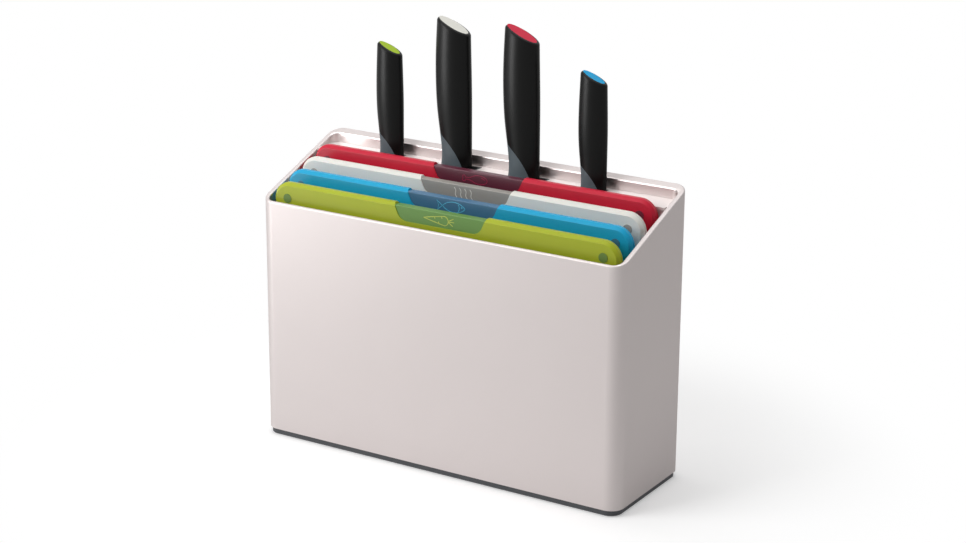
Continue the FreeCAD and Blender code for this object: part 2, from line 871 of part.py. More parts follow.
def make_sheath(knife):
    """Closed pocket for the blade; its collar fills the slot, flush with the deck."""
    body = new_body(f"{knife}_sheath")
    tip = f"(Size.deck_top - Size.{knife}_length - Size.sheath_below)"
    wall = "Size.sheath_wall"
    outer = new_sketch(body, "XY_Plane", f"{knife}_sheath_outline", tip)
    draw_rectangle(outer, *slot_span(knife, wall), *slot_depth(knife, wall))
    add_feature(body, "Pad", f"{knife}_sheath_block", outer, f"Size.deck_top - {tip}")
    corners = f"{knife}_sheath_corners"
    soften(body, "Fillet", corners, lambda e: runs_along(e, "Z"), "Size.slot_soft")
    pocket = new_sketch(body, "XY_Plane", f"{knife}_pocket_outline", "Size.deck_top")
    draw_rectangle(pocket, *slot_span(knife, "0"), *slot_depth(knife, "0"))
    deep = f"Size.deck_top - {tip} - {wall}"
    cut_away(body, f"{knife}_pocket", pocket, deep)
    finish_node(body, f"{knife}_sheath")


# ---------------------------------------------------------------- knives


def place_knife(item, knife):
    """Put a knife's piece at its slot: its origin is where the straight side meets the deck."""
    place(item, f"Size.{knife}_x", "Size.knife_y", "Size.deck_top + Size.knife_gap")


def end_line(knife, drop):
    """Ends of the sloping line across the top of a handle, lowered by a drop."""
    wide, high, low = (f"Size.{knife}_{part}" for part in ("width", "high", "low_side"))
    slope = f"(({high} - {low}) / {wide})"
    spare = "8"
    return [
        (f"-{wide} - {spare}", f"{high} + {spare} * {slope} - ({drop})"),
        (spare, f"{low} - {spare} * {slope} - ({drop})"),
    ]


def cut_above(body, knife, name, drop):
    """Cut a handle's piece off along a line parallel to its sloping end."""
    left, right = end_line(knife, drop)
    above = f"Size.{knife}_high + 60"
    sketch = new_sketch(body, "XZ_Plane", name)
    draw_outline(sketch, [left, right, (right[0], above), (left[0], above)])
    cut_away(body, f"{name}_cut", sketch, side="Symmetric")


def make_handle_form(knife):
    """Whole handle: lofted oval sections, cut off by a sloping plane and softened there."""
    body = new_body(f"{knife}_handle_form")
    wide = f"Size.{knife}_width"
    sections = []
    for index, (share, back, finger, half) in enumerate(HANDLES[knife]):
        height = f"{share} * Size.{knife}_high"
        sketch = new_sketch(body, "XY_Plane", f"{knife}_section_{index}", height)
        draw_ellipse(sketch, f"({back} - 1) * {wide}", f"-{finger} * {wide}", f"{half} * {wide}")
        sections.append(sketch)
    loft = body.newObject("PartDesign::AdditiveLoft", f"{knife}_loft")
    loft.Profile = sections[0]
    loft.Sections = sections[1:]
    model.recompute()
    cut_above(body, knife, f"{knife}_end", "0")
    middle = number(f"Size.{knife}_high") / 2
    soften(
        body,
        "Fillet",
        f"{knife}_end_softening",
        lambda e: e.Vertexes[0].Z > middle and e.BoundBox.ZMin > middle and e.BoundBox.YLength > 5,
        "Size.handle_soft",
    )
    place_knife(body, knife)
    return body


def make_end_cap(knife):
    """Coloured oval inlay in the sloping end of a handle."""
    body = new_body(f"{knife}_knife_end_cap")
    wide = f"Size.{knife}_width"
    _, back, finger, half = HANDLES[knife][-2]
    base = f"Size.{knife}_low_side - 16"
    sketch = new_sketch(body, "XY_Plane", f"{knife}_cap_oval", base)
    draw_ellipse(
        sketch,
        f"({back} - 1) * {wide} + Size.cap_inset",
        f"-{finger} * {wide} - Size.cap_inset",
        f"{half} * {wide} - Size.cap_inset",
    )
    add_feature(body, "Pad", f"{knife}_cap_pad", sketch, "50")
    cut_above(body, knife, f"{knife}_cap_top", "0")
    left, right = end_line(knife, "Size.cap_thick")
    below = new_sketch(body, "XZ_Plane", f"{knife}_cap_under")
    deep = f"{base} - 5"
    draw_outline(below, [left, (left[0], deep), (right[0], deep), right])
    cut_away(body, f"{knife}_cap_under_cut", below, side="Symmetric")
    place_knife(body, knife)
    return body


def make_grip_region(knife):
    """Block that marks which part of a handle is the soft thumb grip."""
    body = new_body(f"{knife}_grip_region")
    wide, start = f"Size.{knife}_width", f"Size.{knife}_grip_high"
    sketch = new_sketch(body, "XZ_Plane", f"{knife}_grip_outline")
    corners = [
        (f"-{wide} - 5", "-5"),
        (f"-{wide} - 5", f"{start} + 0.05 * {wide}"),
        (f"-0.90 * {wide}", start),
        (f"-0.12 * {wide}", "-5"),
    ]
    draw_outline(sketch, corners, {2: f"1.4 * {wide}"})
    add_feature(body, "Pad", f"{knife}_grip_pad", sketch, "60", "Symmetric")
    place_knife(body, knife)
    return body


def make_blade(knife):
    """Flat blade with its tang; the cutting edge faces right and the spine left."""
    body = new_body(f"{knife}_knife_blade")
    part = {
        name: f"Size.{knife}_{name}"
        for name in ("width", "high", "length", "spine", "edge", "tip", "belly", "curve")
    }
    tang_left, tang_right = f"-0.66 * {part['width']}", f"-0.34 * {part['width']}"
    tang_top = f"0.55 * {part['high']}"
    heel = "-2.5"
    corners = [
        (tang_left, tang_top),
        (tang_right, tang_top),
        (tang_right, "0"),
        (f"-0.15 * {part['width']}", "0"),
        (part["edge"], heel),
        (part["edge"], f"-{part['belly']}"),
        (part["tip"], f"-{part['length']}"),
        (part["spine"], f"-{part['length']} * 0.93"),
        (part["spine"], "0"),
        (tang_left, "0"),
    ]
    sketch = new_sketch(body, "XZ_Plane", f"{knife}_blade_outline")
    draw_outline(sketch, corners, {5: part["curve"]})
    add_feature(body, "Pad", f"{knife}_blade_pad", sketch, "Size.blade_thick", "Symmetric")
    ground = number("Size.blade_thick / 2")
    low = number(heel)
    edge_x = number(part["edge"])
    tip_x = number(part["tip"])
    soften(
        body,
        "Chamfer",
        f"{knife}_grind",
        lambda e: all(abs(abs(v.Y) - ground) < 1e-3 and v.Z < low + 0.01 for v in e.Vertexes)
        and not runs_along(e, "Y")
        and min(v.X for v in e.Vertexes) > tip_x - 0.01
        and max(v.X for v in e.Vertexes) > edge_x - 0.01,
        "Size.blade_thick * 0.42",
    )
    if knife == "bread":
        add_scallops(body, part)
    place_knife(body, knife)
    return body


def add_scallops(body, part):
    """Row of shallow round hollows along the bread knife's cutting edge."""
    sketch = new_sketch(body, "XZ_Plane", "scallop_outline")
    centre = f"{part['edge']} + Size.scallop_radius - Size.scallop_depth"
    draw_circles(sketch, [(centre, "-Size.scallop_start")], "Size.scallop_radius")
    cut_away(body, "scallop", sketch, side="Symmetric")
    row = body.newObject("PartDesign::LinearPattern", "scallop_row")
    row.Originals = [body.getObject("scallop")]
    row.Direction = (sketch, ["V_Axis"])
    row.Reversed = True
    span = number(part["belly"]) - number("Size.scallop_start") - 4
    steps = int(span / number("Size.scallop_pitch"))
    row.setExpression("Length", f"{steps} * Size.scallop_pitch")
    row.Occurrences = steps + 1
    body.Tip = row
    model.recompute()


def make_knife(knife):
    """Blade, handle, thumb grip and end cap of one knife."""
    form = make_handle_form(knife)
    region = make_grip_region(knife)
    blade = make_blade(knife)
    cap = make_end_cap(knife)
    body_part = subtract(f"{knife}_handle_core", form, region)
    bored = subtract(f"{knife}_handle_bored", body_part, blade)
    handle = subtract(f"{knife}_knife_handle", bored, cap)
    corner = model.addObject("Part::Common", f"{knife}_grip_solid")
    corner.Base = form
    corner.Tool = region
    grip = subtract(f"{knife}_knife_grip", corner, blade)
    finish_node(blade, f"{knife}_knife_blade")
    finish_node(handle, f"{knife}_knife_handle")
    finish_node(grip, f"{knife}_knife_grip")
    finish_node(cap, f"{knife}_knife_end_cap")


def check_model():
    """Stop if any object failed or any sub-part is not made of valid solids."""
    for item in model.Objects:
        if {"Invalid", "Error"} & set(item.State):
            raise RuntimeError(f"{item.Label} is {item.State}")
    for node in nodes:
        shape = node.Shape
        if shape.isNull() or not shape.isValid() or not shape.Solids:
            raise RuntimeError(f"{node.Label} is not a valid solid")


def write_nodes():
    """Write each sub-part to its own STEP file."""
    os.makedirs("parts", exist_ok=True)
    for node in nodes:
        node.Shape.exportStep(f"parts/{node.Label}.step")
        box = node.Shape.BoundBox
        print(
            f"{node.Label}: {len(node.Shape.Solids)} solid(s), {node.Shape.Volume:.0f} mm3,"
            f" {box.XLength:.1f} x {box.YLength:.1f} x {box.ZLength:.1f} mm"
        )


fill_sheet()
make_outer_case()
make_base_tray()
make_feet()
make_screws()
make_board_rack()
make_side_guides()
make_boards()
make_divider()
make_deck()
for name_of_knife in KNIVES:
    make_sheath(name_of_knife)
    make_knife(name_of_knife)
model.recompute()
check_model()
write_nodes()
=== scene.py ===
import logging
import math
from collections.abc import Callable, Sequence
from dataclasses import dataclass, field
from enum import Enum
from typing import Any

import bmesh
import bpy
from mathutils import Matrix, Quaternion, Vector


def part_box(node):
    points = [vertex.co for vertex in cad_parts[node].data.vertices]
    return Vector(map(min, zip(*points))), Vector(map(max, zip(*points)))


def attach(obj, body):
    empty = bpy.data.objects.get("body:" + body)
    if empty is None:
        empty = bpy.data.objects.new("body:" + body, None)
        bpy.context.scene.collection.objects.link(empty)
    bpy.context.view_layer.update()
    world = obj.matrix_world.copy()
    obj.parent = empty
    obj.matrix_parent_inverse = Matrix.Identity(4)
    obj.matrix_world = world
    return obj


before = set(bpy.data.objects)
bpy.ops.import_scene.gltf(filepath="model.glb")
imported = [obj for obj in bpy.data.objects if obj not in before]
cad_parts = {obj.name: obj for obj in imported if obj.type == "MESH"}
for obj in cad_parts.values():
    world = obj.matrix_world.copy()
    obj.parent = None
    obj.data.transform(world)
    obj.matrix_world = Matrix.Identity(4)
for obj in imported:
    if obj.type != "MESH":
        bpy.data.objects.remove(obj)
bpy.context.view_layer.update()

MM = 0.001
Colour = tuple[float, float, float]
Point = tuple[float, float, float]
Flat = tuple[float, float]
WHITE: Colour = (1.0, 1.0, 1.0)

logging.basicConfig(level=logging.INFO, format="%(name)s: %(message)s")
log = logging.getLogger("storage_case")


# ---------------------------------------------------------------- shader expressions


class Signal:
    """One output socket of a shader tree, usable in Python expressions."""

    def __init__(self, tree: "ShaderTree", socket: Any) -> None:
        """Wrap a socket.

        Args:
            tree: The shader tree that the socket belongs to.
            socket: The Blender output socket.
        """
        self.tree = tree
        self.socket = socket

    def _math(self, operation: str, first: Any, second: Any = None) -> "Signal":
        """Add one Math node.

        Args:
            operation: Name of the Math node's operation.
            first: First operand, a number or a Signal.
            second: Second operand, if the operation has one.

        Returns:
            The node's result.
        """
        operands = {0: first} if second is None else {0: first, 1: second}
        return self.tree.node("ShaderNodeMath", {"operation": operation}, operands)

    def __add__(self, other: Any) -> "Signal":
        """Sum of this and another value."""
        return self._math("ADD", self, other)

    __radd__ = __add__

    def __sub__(self, other: Any) -> "Signal":
        """This value less another."""
        return self._math("SUBTRACT", self, other)

    def __rsub__(self, other: Any) -> "Signal":
        """Another value less this one."""
        return self._math("SUBTRACT", other, self)

    def __mul__(self, other: Any) -> "Signal":
        """Product of this and another value."""
        return self._math("MULTIPLY", self, other)

    __rmul__ = __mul__

    def output(self, name: str) -> "Signal":
        """Another output of the same node."""
        return Signal(self.tree, self.socket.node.outputs[name])

    def magnitude(self) -> "Signal":
        """This value without its sign."""
        return self.tree.node("ShaderNodeMath", {"operation": "ABSOLUTE"}, {0: self})

    def over(self, limit: Any) -> "Signal":
        """1 where this value is greater than a limit, else 0."""
        return self._math("GREATER_THAN", self, limit)

    def clamped(self) -> "Signal":
        """This value kept between 0 and 1."""
        settings = {"operation": "ADD", "use_clamp": True}
        return self.tree.node("ShaderNodeMath", settings, {0: self, 1: 0.0})

    def ramp(self, low: float, high: float, start: float = 0.0, end: float = 1.0) -> "Signal":
        """Smooth step of this value.

        Args:
            low: Value at which the result is start.
            high: Value at which the result is end.
            start: Result at and below low.
            end: Result at and above high.

        Returns:
            The remapped value.
        """
        settings = {"interpolation_type": "SMOOTHSTEP"}
        return self.tree.node(
            "ShaderNodeMapRange", settings, {0: self, 1: low, 2: high, 3: start, 4: end}
        )


class ShaderTree:
    """Node tree of one material, built by code."""

    def __init__(self, name: str) -> None:
        """Start a material with an output node only.

        Args:
            name: Name of the material.
        """
        self.material = bpy.data.materials.new(name)
        self.material.use_nodes = True
        self.start(self.material.node_tree, "ShaderNodeOutputMaterial")

    def start(self, node_tree: bpy.types.NodeTree, output: str) -> None:
        """Empty a node tree but for its output node.

        Args:
            node_tree: The node tree to build in.
            output: Blender's type name of the output node.
        """
        self.nodes = node_tree.nodes
        self.links = node_tree.links
        self.nodes.clear()
        self.output = self.nodes.new(output)

    @classmethod
    def on_world(cls, world: bpy.types.World) -> "ShaderTree":
        """Start the tree of a world.

        Args:
            world: The world, which already uses nodes.

        Returns:
            The tree.
        """
        tree = cls.__new__(cls)
        tree.start(world.node_tree, "ShaderNodeOutputWorld")
        return tree

    def node(
        self,
        kind: str,
        settings: dict[str, Any] | None = None,
        inputs: dict[Any, Any] | None = None,
        output: int | str = 0,
    ) -> Signal:
        """Add one node.

        Args:
            kind: Blender's type name of the node.
            settings: Properties of the node, set before its sockets.
            inputs: Values or Signals for its sockets, by name or number.
            output: The output socket to return, by name or number.

        Returns:
            The chosen output.
        """
        made = self.nodes.new(kind)
        for name, value in (settings or {}).items():
            setattr(made, name, value)
        for key, value in (inputs or {}).items():
            self.feed(made.inputs[key], value)
        return Signal(self, made.outputs[output])

    def feed(self, socket: Any, value: Any) -> None:
        """Link or set one input socket.

        Args:
            socket: The input socket.
            value: A Signal to link, or a plain value to set.
        """
        if isinstance(value, Signal):
            self.links.new(value.socket, socket)
        elif isinstance(value, tuple) and len(value) == 3 and socket.type == "RGBA":
            socket.default_value = (*value, 1.0)
        else:
            socket.default_value = value

    def place(self) -> Signal:
        """Position on the object in metres, which moves with the object."""
        return self.node("ShaderNodeTexCoord", output="Object")

    def stretched(self, scale: Point) -> Signal:
        """Object position multiplied by a scale for each axis."""
        return self.node(
            "ShaderNodeVectorMath", {"operation": "MULTIPLY"}, {0: self.place(), 1: scale}
        )

    def noise(
        self,
        scale: float,
        detail: float = 4.0,
        roughness: float = 0.55,
        vector: Signal | None = None,
    ) -> Signal:
        """Fractal noise over the object.

        Args:
            scale: Number of cells in a metre.
            detail: Number of octaves.
            roughness: Weight of the finer octaves.
            vector: Coordinates, if not the object's own.

        Returns:
            The noise value, from 0 to 1.
        """
        inputs = {
            "Vector": vector or self.place(),
            "Scale": scale,
            "Detail": detail,
            "Roughness": roughness,
        }
        return self.node("ShaderNodeTexNoise", {}, inputs)

    def mix(self, first: Any, second: Any, factor: Any) -> Signal:
        """Blend two colours.

        Args:
            first: Colour at factor 0.
            second: Colour at factor 1.
            factor: Share of the second colour.

        Returns:
            The blended colour.
        """
        settings = {"data_type": "RGBA"}
        return self.node("ShaderNodeMix", settings, {0: factor, 6: first, 7: second}, 2)

    def bump(self, height: Signal, depth: float, before: Signal | None = None) -> Signal:
        """Bumped normal.

        Args:
            height: Relief, from 0 to 1.
            depth: Height of the relief in metres.
            before: A normal to add the relief to.

        Returns:
            The normal.
        """
        inputs: dict[Any, Any] = {"Height": height, "Distance": depth, "Strength": 1.0}
        if before is not None:
            inputs["Normal"] = before
        return self.node("ShaderNodeBump", {}, inputs)

    def surface(self, **sockets: Any) -> bpy.types.Material:
        """Finish the tree with one Principled shader.

        Args:
            **sockets: Values of the shader's sockets, with _ for a space.

        Returns:
            The finished material.
        """
        named = {name.replace("_", " "): value for name, value in sockets.items()}
        shader = self.node("ShaderNodeBsdfPrincipled", {}, named)
        self.links.new(shader.socket, self.output.inputs["Surface"])
        return self.material


# ---------------------------------------------------------------- finishes


def tone(colour: Colour, factor: float) -> Colour:
    """Colour made lighter or darker by a factor, kept at or below 1."""
    return tuple(min(1.0, part * factor) for part in colour)


@dataclass(frozen=True)
class SatinMetal:
    """Sheet metal under a pearly lacquer, with barer and smoother metal inside the case.

    The widths of the rim are measured from the outside of the case.
    """

    name: str
    colour: Colour
    roughness: float = 0.40
    metallic: float = 0.30
    grain: float = 2600.0
    grain_depth: float = 2.0e-5
    inner_metallic: float = 0.92
    inner_roughness: float = 0.33
    rim_side: float = 4.2 * MM
    rim_front: float = 2.8 * MM
    rim_rear: float = 7.2 * MM

    def inside(self, tree: ShaderTree) -> Signal:
        """1 on the faces inside the rim, else 0.

        Args:
            tree: The tree to work in.

        Returns:
            The mask.
        """
        split = tree.node("ShaderNodeSeparateXYZ", {}, {0: tree.place()})
        across = split.output("X").magnitude()
        along = split.output("Y")
        low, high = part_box("outer_case")
        mask = ((high.x - self.rim_side) - across).over(0.0)
        mask = mask * ((high.y - self.rim_rear) - along).over(0.0)
        return mask * (along - (low.y + self.rim_front)).over(0.0)

    def build(self) -> bpy.types.Material:
        """Make the material."""
        tree = ShaderTree(self.name)
        grain = tree.noise(self.grain, 3.0, 0.6)
        flake = tree.noise(self.grain * 2.7, 1.0, 0.4)
        cloud = tree.noise(9.0, 2.0)
        handled = tree.noise(38.0, 5.0, 0.7).ramp(0.55, 0.8)
        inside = self.inside(tree)
        base = tree.mix(tone(self.colour, 0.975), tone(self.colour, 1.02), cloud)
        base = tree.mix(base, tone(self.colour, 1.12), flake.ramp(0.56, 0.75, 0.0, 0.3))
        rough = self.roughness + inside * (self.inner_roughness - self.roughness)
        rough = rough + (grain - 0.5) * 0.10 + handled * 0.035
        return tree.surface(
            Base_Color=base,
            Metallic=self.metallic + inside * (self.inner_metallic - self.metallic),
            Roughness=rough,
            Specular_Tint=(0.35, 0.32, 0.30),
            Specular_IOR_Level=0.35,
            Normal=tree.bump(grain, self.grain_depth),
        )


@dataclass(frozen=True)
class MouldedPlastic:
    """Injection-moulded plastic with a fine spark texture and slight scuffing."""

    name: str
    colour: Colour
    roughness: float = 0.45
    texture: float = 1500.0
    texture_depth: float = 3.0e-5
    mottle: float = 0.03
    scuff: float = 0.06
    gloss: float = 0.35

    def build(self) -> bpy.types.Material:
        """Make the material."""
        tree = ShaderTree(self.name)
        texture = tree.noise(self.texture, 3.0, 0.6)
        cloud = tree.noise(22.0, 4.0, 0.6)
        scuffs = tree.noise(260.0, 6.0, 0.75, tree.stretched((1.0, 1.0, 0.25)))
        worn = scuffs.ramp(0.56, 0.74)
        low, high = tone(self.colour, 1.0 - self.mottle), tone(self.colour, 1.0 + self.mottle)
        base = tree.mix(low, high, cloud)
        base = tree.mix(base, tone(self.colour, 1.15), worn * 0.18)
        rough = self.roughness + (texture - 0.5) * 0.12 + worn * self.scuff
        return tree.surface(
            Base_Color=base,
            Roughness=rough,
            Specular_IOR_Level=self.gloss,
            Normal=tree.bump(texture, self.texture_depth),
        )


@dataclass(frozen=True)
class CuttingBoardPlastic:
    """Board plastic: satin, finely pitted, with faint strokes left by washing and cutting."""

    name: str
    colour: Colour
    roughness: float = 0.40

    def build(self) -> bpy.types.Material:
        """Make the material."""
        tree = ShaderTree(self.name)
        pits = tree.noise(1900.0, 3.0, 0.65)
        cloud = tree.noise(14.0, 3.0, 0.5)
        strokes = tree.noise(900.0, 2.0, 0.5, tree.stretched((1.0, 1.0, 0.03)))
        stroke = strokes.ramp(0.62, 0.74)
        base = tree.mix(tone(self.colour, 0.97), tone(self.colour, 1.03), cloud)
        base = tree.mix(base, tone(self.colour, 1.10), stroke * 0.22)
        rough = self.roughness + (pits - 0.5) * 0.12 + stroke * 0.08
        relief = tree.bump(pits, 2.4e-5)
        return tree.surface(
            Base_Color=base,
            Roughness=rough,
            Specular_IOR_Level=0.25,
            Subsurface_Weight=0.06,
            Subsurface_Scale=0.002,
            Normal=tree.bump(1 - stroke, 1.2e-5, relief),
        )


@dataclass(frozen=True)
class GroundSteel:
    """Blade steel, ground across the blade, with slight clouding."""

    name: str
    colour: Colour = (0.66, 0.66, 0.67)
    roughness: float = 0.27

    def build(self) -> bpy.types.Material:
        """Make the material."""
        tree = ShaderTree(self.name)
        lines = tree.noise(420.0, 4.0, 0.7, tree.stretched((0.05, 1.0, 9.0)))
        cloud = tree.noise(30.0, 3.0)
        base = tree.mix(tone(self.colour, 0.93), tone(self.colour, 1.05), lines)
        rough = self.roughness + (lines - 0.5) * 0.22 + (cloud - 0.5) * 0.05
        return tree.surface(
            Base_Color=base,
            Metallic=1.0,
            Roughness=rough,
            Normal=tree.bump(lines, 1.0e-5),
        )


@dataclass(frozen=True)
class SoftTouch:
    """Rubbery overmould with a dull bloom and patches that are rubbed smoother."""

    name: str
    colour: Colour
    roughness: float = 0.55
    bloom: float = 0.05

    def build(self) -> bpy.types.Material:
        """Make the material."""
        tree = ShaderTree(self.name)
        grain = tree.noise(2400.0, 3.0, 0.6)
        cloud = tree.noise(45.0, 4.0, 0.6)
        rubbed = cloud.ramp(0.5, 0.8)
        base = tree.mix(self.colour, tone(self.colour, 1.2), cloud)
        rough = self.roughness + (grain - 0.5) * 0.14 - rubbed * 0.06
        return tree.surface(
            Base_Color=base,
            Roughness=rough,
            Specular_IOR_Level=0.25,
            Sheen_Weight=self.bloom,
            Sheen_Roughness=0.6,
            Normal=tree.bump(grain, 3.0e-5),
        )


class Finish(Enum):
    """Every finish on the object."""

    CASE = SatinMetal("case_satin_metal", (0.70, 0.64, 0.63))
    TRAY = MouldedPlastic("tray_grey_plastic", (0.075, 0.078, 0.085), 0.55)
    RACK = MouldedPlastic("rack_grey_plastic", (0.12, 0.12, 0.125), 0.5)
    DECK = MouldedPlastic("deck_pale_plastic", (0.80, 0.73, 0.71), 0.32, 1100.0, 1.6e-5)
    SCREW = GroundSteel("screw_steel", (0.45, 0.45, 0.46), 0.35)
    FOOT = SoftTouch("foot_rubber", (0.025, 0.025, 0.027), 0.7, 0.1)
    BOARD_LIME = CuttingBoardPlastic("board_lime", (0.42, 0.48, 0.025))
    BOARD_BLUE = CuttingBoardPlastic("board_blue", (0.012, 0.40, 0.69))
    BOARD_WHITE = CuttingBoardPlastic("board_white", (0.86, 0.84, 0.78))
    BOARD_RED = CuttingBoardPlastic("board_red", (0.62, 0.016, 0.045))
    TAB_LIME = MouldedPlastic("tab_lime", (0.13, 0.28, 0.055), 0.36)
    TAB_BLUE = MouldedPlastic("tab_blue", (0.055, 0.17, 0.31), 0.36)
    TAB_WHITE = MouldedPlastic("tab_white", (0.34, 0.32, 0.29), 0.36)
    TAB_RED = MouldedPlastic("tab_red", (0.115, 0.020, 0.040), 0.36)
    BUTTON_LIME = SoftTouch("button_lime", (0.13, 0.22, 0.04), 0.5)
    BUTTON_BLUE = SoftTouch("button_blue", (0.05, 0.17, 0.28), 0.5)
    BUTTON_WHITE = SoftTouch("button_white", (0.36, 0.33, 0.30), 0.5)
    BUTTON_RED = SoftTouch("button_red", (0.16, 0.02, 0.04), 0.5)
    BLADE = GroundSteel("blade_steel")
    HANDLE = MouldedPlastic(
        "handle_black",
        (0.003, 0.003, 0.003),
        roughness=0.33,
        texture=1300.0,
        texture_depth=1.4e-5,
        mottle=0.1,
        gloss=0.13,
    )
    GRIP = SoftTouch("grip_slate", (0.075, 0.10, 0.115), 0.5)
    CAP_LIME = MouldedPlastic("cap_lime", (0.42, 0.60, 0.02), 0.35, gloss=0.1)
    CAP_WHITE = MouldedPlastic("cap_white", (0.88, 0.87, 0.80), 0.35, gloss=0.1)
    CAP_RED = MouldedPlastic("cap_red", (0.70, 0.008, 0.05), 0.35, gloss=0.1)
    CAP_BLUE = MouldedPlastic("cap_blue", (0.006, 0.42, 0.80), 0.35, gloss=0.1)
    MARK_LIME = MouldedPlastic("mark_lime", (0.55, 0.62, 0.10), 0.4)
    MARK_BLUE = MouldedPlastic("mark_blue", (0.12, 0.55, 0.80), 0.4)
    MARK_WHITE = MouldedPlastic("mark_white", (0.80, 0.78, 0.72), 0.4)
    MARK_RED = MouldedPlastic("mark_red", (0.36, 0.020, 0.070), 0.4)


class Workshop:
    """Makes each finish once and lays it on objects."""

    def __init__(self) -> None:
        """Start with no material made."""
        self.made: dict[Finish, bpy.types.Material] = {}

    def material(self, finish: Finish) -> bpy.types.Material:
        """Material of a finish, made on first use.

        Args:
            finish: The finish.

        Returns:
            Its material.
        """
        if finish not in self.made:
            self.made[finish] = finish.value.build()
        return self.made[finish]

    def dress(self, item: bpy.types.Object, finish: Finish) -> bpy.types.Object:
        """Give an object one finish all over.

        Args:
            item: The object.
            finish: The finish.

        Returns:
            The same object.
        """
        item.data.materials.clear()
        item.data.materials.append(self.material(finish))
        return item

    def dress_node(self, node: str, finish: Finish, crease: float = 32.0) -> None:
        """Give a CAD node its finish and smooth shading between its creases.

        Args:
            node: Name of the node.
            finish: The finish.
            crease: Angle in degrees above which an edge stays sharp.
        """
        item = self.dress(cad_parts[node], finish)
        shade_smooth(item, crease)


def shade_smooth(item: bpy.types.Object, crease: float) -> None:
    """Shade a mesh smooth except at its creases.

    Args:
        item: The object.
        crease: Angle in degrees above which an edge stays sharp.
    """
    item.data.shade_smooth()
    item.data.set_sharp_from_angle(angle=math.radians(crease))


def mesh_object(name: str, shape: bmesh.types.BMesh) -> bpy.types.Object:
    """Turn a bmesh into an object in the scene.

    Args:
        name: Name of the piece.
        shape: The bmesh, which is freed.

    Returns:
        The new object.
    """
    data = bpy.data.meshes.new(name)
    shape.to_mesh(data)
    shape.free()
    item = bpy.data.objects.new(name, data)
    bpy.context.scene.collection.objects.link(item)
    return item


# ---------------------------------------------------------------- case


@dataclass
class Case:
    """Sheet-metal case with its tray, feet, rack, guides and divider."""

    workshop: Workshop
    finishes: dict[str, Finish] = field(
        default_factory=lambda: {
            "outer_case": Finish.CASE,
            "base_tray": Finish.TRAY,
            "base_screws": Finish.SCREW,
            "board_rack": Finish.RACK,
            "side_guide_left": Finish.DECK,
            "side_guide_right": Finish.DECK,
            "bay_divider": Finish.DECK,
            "knife_deck": Finish.DECK,
        }
    )
    feet: tuple[str, ...] = (
        "foot_front_left",
        "foot_front_right",
        "foot_rear_left",
        "foot_rear_right",
    )

    def dress(self) -> None:
        """Lay the finishes on the case's nodes."""
        for node, finish in self.finishes.items():
            self.workshop.dress_node(node, finish)
            log.info("case piece %s: %s", node, finish.value.name)
        for node in self.feet:
            self.workshop.dress_node(node, Finish.FOOT)
            log.info("case piece %s: %s", node, Finish.FOOT.value.name)


# ---------------------------------------------------------------- boards


class Mark(Enum):
    """Pictogram on a board's tab."""

    CARROT = "carrot"
    FISH = "fish"
    STEAM = "steam"
    DRUMSTICK = "drumstick"


def arc_points(
    centre: Flat, radii: Flat, start: float, end: float, steps: int = 14
) -> list[Flat]:
    """Points along an elliptical arc.

    Args:
        centre: Centre of the ellipse.
        radii: Its half-widths along X and Z.
        start: Angle at the first point, in degrees.
        end: Angle at the last point, in degrees.
        steps: Number of pieces.

    Returns:
        The points, from start to end.
    """
    turns = [math.radians(start + (end - start) * n / steps) for n in range(steps + 1)]
    return [
        (centre[0] + radii[0] * math.cos(turn), centre[1] + radii[1] * math.sin(turn))
        for turn in turns
    ]


def carrot_strokes() -> list[list[Flat]]:
    """Strokes of a carrot that points left, in millimetres."""
    body = [(-14.6, 0.0), (-8.0, 1.4), (0.0, 2.8), (4.6, 3.6)]
    body += arc_points((4.6, -0.1), (3.4, 3.7), 80.0, -80.0)
    body += [(4.6, -3.8), (-2.0, -2.6), (-14.6, 0.0)]
    leaves = [
        [(8.0, 0.2), (12.8, 2.8)],
        [(8.0, -0.1), (13.4, -0.1)],
        [(8.0, -0.4), (12.2, -3.2)],
    ]
    ridges = [
        [(-4.4, 2.0), (-4.0, 0.4)],
        [(2.0, 3.1), (2.4, 1.4)],
        [(-1.0, -2.8), (-0.6, -1.3)],
    ]
    return [body, *leaves, *ridges]


def fish_strokes() -> list[list[Flat]]:
    """Strokes of a fish that swims right, in millimetres."""
    back = arc_points((1.4, -4.8), (12.0, 8.4), 150.0, 32.0, 18)
    belly = arc_points((1.4, 3.8), (12.0, 8.4), 210.0, 328.0, 18)
    tail = [(-9.0, -0.4), (-14.4, 3.2), (-12.6, -0.4), (-13.6, -4.2), (-9.0, -0.4)]
    gill = arc_points((4.6, -0.5), (1.8, 2.9), -66.0, 66.0)
    eye = arc_points((8.6, 0.3), (0.5, 0.5), 0.0, 360.0, 10)
    return [back, belly, tail, gill, eye]


def steam_strokes() -> list[list[Flat]]:
    """Four leaning waves of rising steam, in millimetres."""
    waves = []
    for column in range(4):
        top = -10.0 + 4.76 * column
        share = [n / 16 for n in range(17)]
        waves.append(
            [(top + 2.6 * t + 0.7 * math.sin(math.tau * t), 3.4 - 7.8 * t) for t in share]
        )
    return waves


def drumstick_strokes() -> list[list[Flat]]:
    """Strokes of a joint of meat on its bone, in millimetres."""
    meat = arc_points((1.4, 0.2), (7.4, 3.5), 148.0, -148.0, 26)
    knob = arc_points((-12.6, 1.3), (1.3, 1.1), -20.0, 220.0, 12)
    knob += arc_points((-12.6, -1.3), (1.3, 1.1), 140.0, 380.0, 12)
    upper = [meat[0], (-8.2, 0.8), (-11.4, 0.8)]
    lower = [(-11.4, -0.8), (-8.2, -0.8), meat[-1]]
    shine = arc_points((1.6, 0.2), (4.8, 1.9), 68.0, 8.0, 8)
    return [meat, upper, knob, lower, shine]


